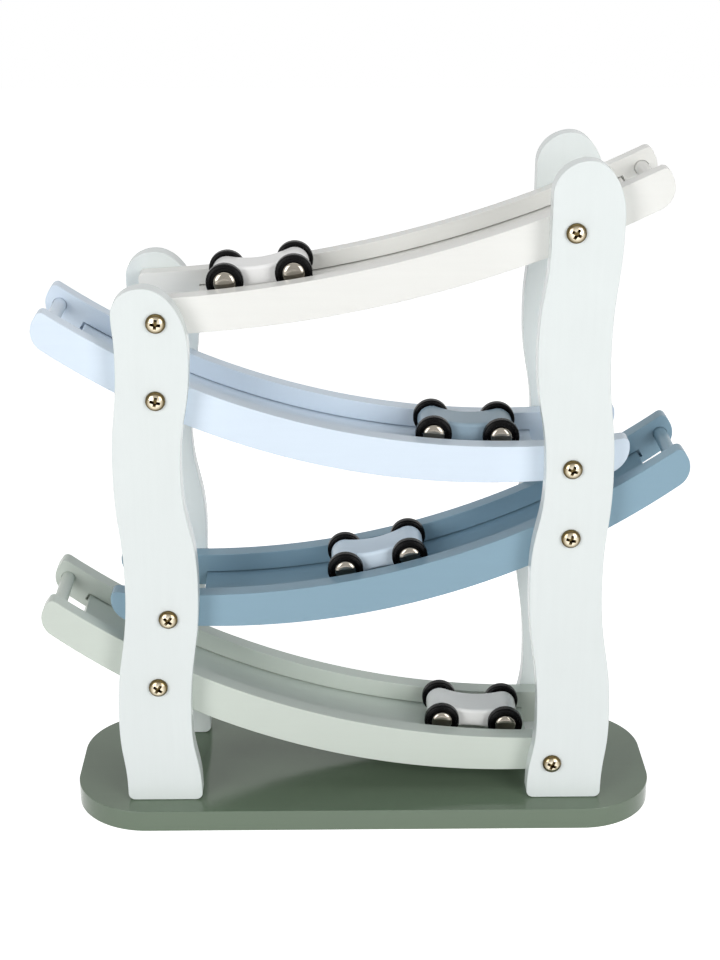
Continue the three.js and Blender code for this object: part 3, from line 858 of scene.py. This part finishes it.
def cross():
    """A cross recess, tapered towards its root, sunk into a screw's head towards +Y."""
    top = -SCREW_HEAD_HEIGHT
    vertices = []
    # The cutter stands as far out of the head as it is sunk, so there it has widened twice
    for y, widening in ((top - CROSS_DEPTH, 2), (top + CROSS_DEPTH, 0)):
        reach = CROSS_ROOT_REACH + (CROSS_REACH - CROSS_ROOT_REACH) * widening
        half = CROSS_ROOT_HALF_WIDTH + (CROSS_HALF_WIDTH - CROSS_ROOT_HALF_WIDTH) * widening
        arm = [(reach, -half), (reach, half), (half, half)]
        for _ in range(4):
            vertices += [(x, y, z) for x, z in arm]
            arm = [(-z, x) for x, z in arm]
    count = len(vertices) // 2
    faces = [list(range(count)), [count + i for i in reversed(range(count))]]
    for i in range(count):
        j = (i + 1) % count
        faces.append((j, i, i + count, j + count))
    return new_object("cutter", vertices, faces)


def screw(name, turn):
    """A cross-head pan screw, its head towards -Y and the underside of its head at zero."""
    length = SCREW_SEAT - RAIL_OUTER_FACE + SCREW_BITE

    def dome(t):
        angle = t * math.pi / 2
        return SCREW_HEAD_RADIUS * math.sin(angle), -SCREW_RIM_HEIGHT - SCREW_CROWN_RISE * math.cos(angle)

    profile = steps(DOME_STEPS, dome) + [
        (SCREW_HEAD_RADIUS, 0),
        (SCREW_SHANK_RADIUS, 0),
        (SCREW_SHANK_RADIUS, length - SCREW_POINT),
        (0, length),
    ]
    piece = lathe(name, profile)
    cut(piece, [cross()])
    mark_painted_shade(piece)
    return turned(piece, turn, "Y")


def build_track_screws(track):
    for end in ("low", "upper"):
        place = track.screw_place(end)
        turn = SCREW_TURNS[track.name, end]
        front = screw(f"{track.name}_{end}_front_screw", turn)
        moved(front, place.x, -SCREW_SEAT, place.y)
        dress(front, "frame", "brass_screws", f"{track.name}_track_{end}_screw")
        rear = turned(screw(f"{track.name}_{end}_rear_screw", -turn), 180, "Z")
        moved(rear, place.x, SCREW_SEAT, place.y)
        dress(rear, "frame", "brass_screws")


def build_base_screw(index, x, y):
    """A countersunk screw, its flat head under the base."""
    end = BASE_TOP + BASE_SCREW_BITE
    profile = [
        (0, BASE_SCREW_SINK),
        (BASE_SCREW_HEAD_RADIUS, BASE_SCREW_SINK),
        (SCREW_SHANK_RADIUS, COUNTERSINK_DEPTH),
        (SCREW_SHANK_RADIUS, end - SCREW_POINT),
        (0, end),
    ]
    piece = lathe(f"base_screw_{index}", profile)
    cut(piece, [moved(cross(), 0, SCREW_HEAD_HEIGHT + BASE_SCREW_SINK, 0)])
    mark_painted_shade(piece)
    dress(upright(turned(piece, BASE_SCREW_TURN * index, "Y"), x, y), "frame", "brass_screws")


# Cars


def wheel_profile():
    """A wheel's section: inner face at zero, rounded tread, a bead and the dish behind the cap."""
    bore = AXLE_RADIUS + SEAT_GAP
    rim = WHEEL_RADIUS - TYRE_DEPTH
    dish = WHEEL_THICKNESS - WHEEL_DISH_DEPTH
    shoulder = WHEEL_SHOULDER_ROUND
    bead = TYRE_BEAD_RADIUS
    root = TYRE_DISH_ROUND
    quarter = math.pi / 2

    def bend(radius, y, size, start, end):
        centre = flat(radius, y)
        return steps(BEND_STEPS, lambda t: tuple(polar(centre, size, start + (end - start) * t)))

    profile = [(bore, 0)]
    profile += bend(WHEEL_RADIUS - shoulder, shoulder, shoulder, -quarter, 0)
    profile += bend(WHEEL_RADIUS - shoulder, WHEEL_THICKNESS - shoulder, shoulder, 0, quarter)
    profile += bend(rim + bead, WHEEL_THICKNESS, bead, 0, 2 * quarter)
    profile += bend(rim - root, dish + root, root, 0, -quarter)
    return profile + [(bore, dish), (bore, 0)]


def axle_profile():
    """An axle's section with a domed cap at each end, fuller towards its rim."""
    rise = CAP_HEIGHT - CAP_RIM

    def dome(t):
        angle = t * math.pi / 2
        radius = CAP_RADIUS * math.cos(angle) ** (2 / CAP_FULLNESS)
        return radius, CAP_SEAT + CAP_RIM + rise * math.sin(angle)

    half = [(AXLE_RADIUS, CAP_SEAT), (CAP_RADIUS, CAP_SEAT)] + steps(DOME_STEPS, dome)
    return [(r, -y) for r, y in reversed(half)] + half


def build_car(track):
    name = f"{track.name}_car"
    axles = {end: joint_place(f"{name}_{end}_wheelset_spin") for end in ("low", "upper")}
    middle = (axles["low"] + axles["upper"]) / 2
    along = axles["upper"] - axles["low"]
    lean = math.degrees(math.atan2(-along.z * track.climb, along.x * track.climb))

    half = CAR_WIDTH / 2
    body = board(f"{name}_block", car_outline(), -half, half, CAR_EDGE_ROUND)
    bores = []
    for end in (-1, 1):
        bore = rod(AXLE_RADIUS + RUNNING_GAP, -half - SEAT_GAP, half + SEAT_GAP)
        bores.append(moved(bore, end * WHEEL_BASE / 2))
    cut(body, bores)
    moved(turned(body, lean, "Y"), *middle)
    dress(body, name, f"{name}_paint", f"{name}_body")

    for end, place in axles.items():
        carrier = f"{name}_{end}_wheelset"
        pin = moved(lathe(f"{name}_{end}_capped_axle", axle_profile()), *place)
        dress(pin, carrier, "chrome_axles", f"{name}_{end}_axle")
        for face_name, turn in (("rear", 0), ("front", 180)):
            tyre = lathe(f"{name}_{end}_{face_name}_tyre", wheel_profile())
            moved(turned(moved(tyre, y=WHEEL_INNER_FACE), turn, "Z"), *place)
            dress(tyre, carrier, "black_wheels", f"{name}_{end}_{face_name}_wheel")


build_base()
for index, (x, y) in enumerate(base_screw_places, 1):
    build_base_screw(index, x, y)
for side in POST_CROWN:
    for face_name, face in FACES.items():
        build_post(side, face_name, face)
for track in tracks:
    for face_name, face in FACES.items():
        build_rail(track, face_name, face)
    build_floor(track)
    build_dowel(track)
    build_track_screws(track)
    build_car(track)


# Studio


def seen_ray(nodes):
    """One for rays that show a surface itself: those of the camera, of gloss and of glass."""
    path = nodes.add("ShaderNodeLightPath").outputs
    seen = path["Is Camera Ray"]
    for kind in ("Is Glossy Ray", "Is Transmission Ray"):
        seen = nodes.merge("MAXIMUM", seen, path[kind])
    return seen


def build_floor_plane():
    signs = [(-1, -1), (1, -1), (1, 1), (-1, 1)]
    corners = [(x * FLOOR_HALF, y * FLOOR_HALF, 0) for x, y in signs]
    plane = new_object("studio_floor", corners, [(0, 1, 2, 3)])
    material = bpy.data.materials.new("studio_floor")
    nodes = Nodes(material)
    glow = nodes.merge("MULTIPLY", seen_ray(nodes), FLOOR_GLOW)
    diffuse = nodes.add("ShaderNodeBsdfDiffuse", {"Color": FLOOR_COLOUR}).outputs["BSDF"]
    emission = nodes.add("ShaderNodeEmission", {"Color": WHITE, "Strength": glow}).outputs["Emission"]
    both = nodes.add("ShaderNodeAddShader", {0: diffuse, 1: emission}).outputs["Shader"]
    nodes.add("ShaderNodeOutputMaterial", {"Surface": both})
    plane.data.materials.append(material)


def build_world():
    world = bpy.data.worlds.new("studio")
    bpy.context.scene.world = world
    nodes = Nodes(world)
    strength = nodes.between(seen_ray(nodes), 0.0, 1.0, WORLD_LIGHT, 1.0)
    background = nodes.add("ShaderNodeBackground", {"Color": WHITE, "Strength": strength})
    nodes.add("ShaderNodeOutputWorld", {"Surface": background.outputs["Background"]})


def softbox(name, place, width, height, power):
    data = bpy.data.lights.new(name, "AREA")
    data.shape = "RECTANGLE"
    data.size = width * MM
    data.size_y = height * MM
    data.energy = power
    lamp = bpy.data.objects.new(name, data)
    lamp.location = Vector(place) * MM
    lamp.rotation_euler = (LAMP_TARGET - Vector(place)).to_track_quat("-Z", "Y").to_euler()
    bpy.context.scene.collection.objects.link(lamp)


def build_camera():
    data = bpy.data.cameras.new("camera")
    data.sensor_width = SENSOR
    data.sensor_fit = "AUTO"
    data.lens = FOCAL_PIXELS * SENSOR / IMAGE_HEIGHT
    data.clip_start = CAMERA_NEAR * MM
    data.clip_end = CAMERA_FAR * MM
    forward = Vector((
        math.sin(CAMERA_YAW) * math.cos(CAMERA_PITCH),
        math.cos(CAMERA_YAW) * math.cos(CAMERA_PITCH),
        -math.sin(CAMERA_PITCH),
    ))
    level = Vector((math.cos(CAMERA_YAW), -math.sin(CAMERA_YAW), 0))
    upward = level.cross(forward)
    right = level * math.cos(CAMERA_ROLL) + upward * math.sin(CAMERA_ROLL)
    up = right.cross(forward)
    camera = bpy.data.objects.new("camera", data)
    turn = Matrix((right, up, -forward)).transposed()
    camera.matrix_world = Matrix.Translation(CAMERA_PLACE * MM) @ turn.to_4x4()
    bpy.context.scene.collection.objects.link(camera)
    bpy.context.scene.camera = camera


build_floor_plane()
build_world()
for name, lamp in SOFTBOXES.items():
    softbox(name, **lamp)
build_camera()

bpy.context.scene.view_settings.view_transform = "Standard"
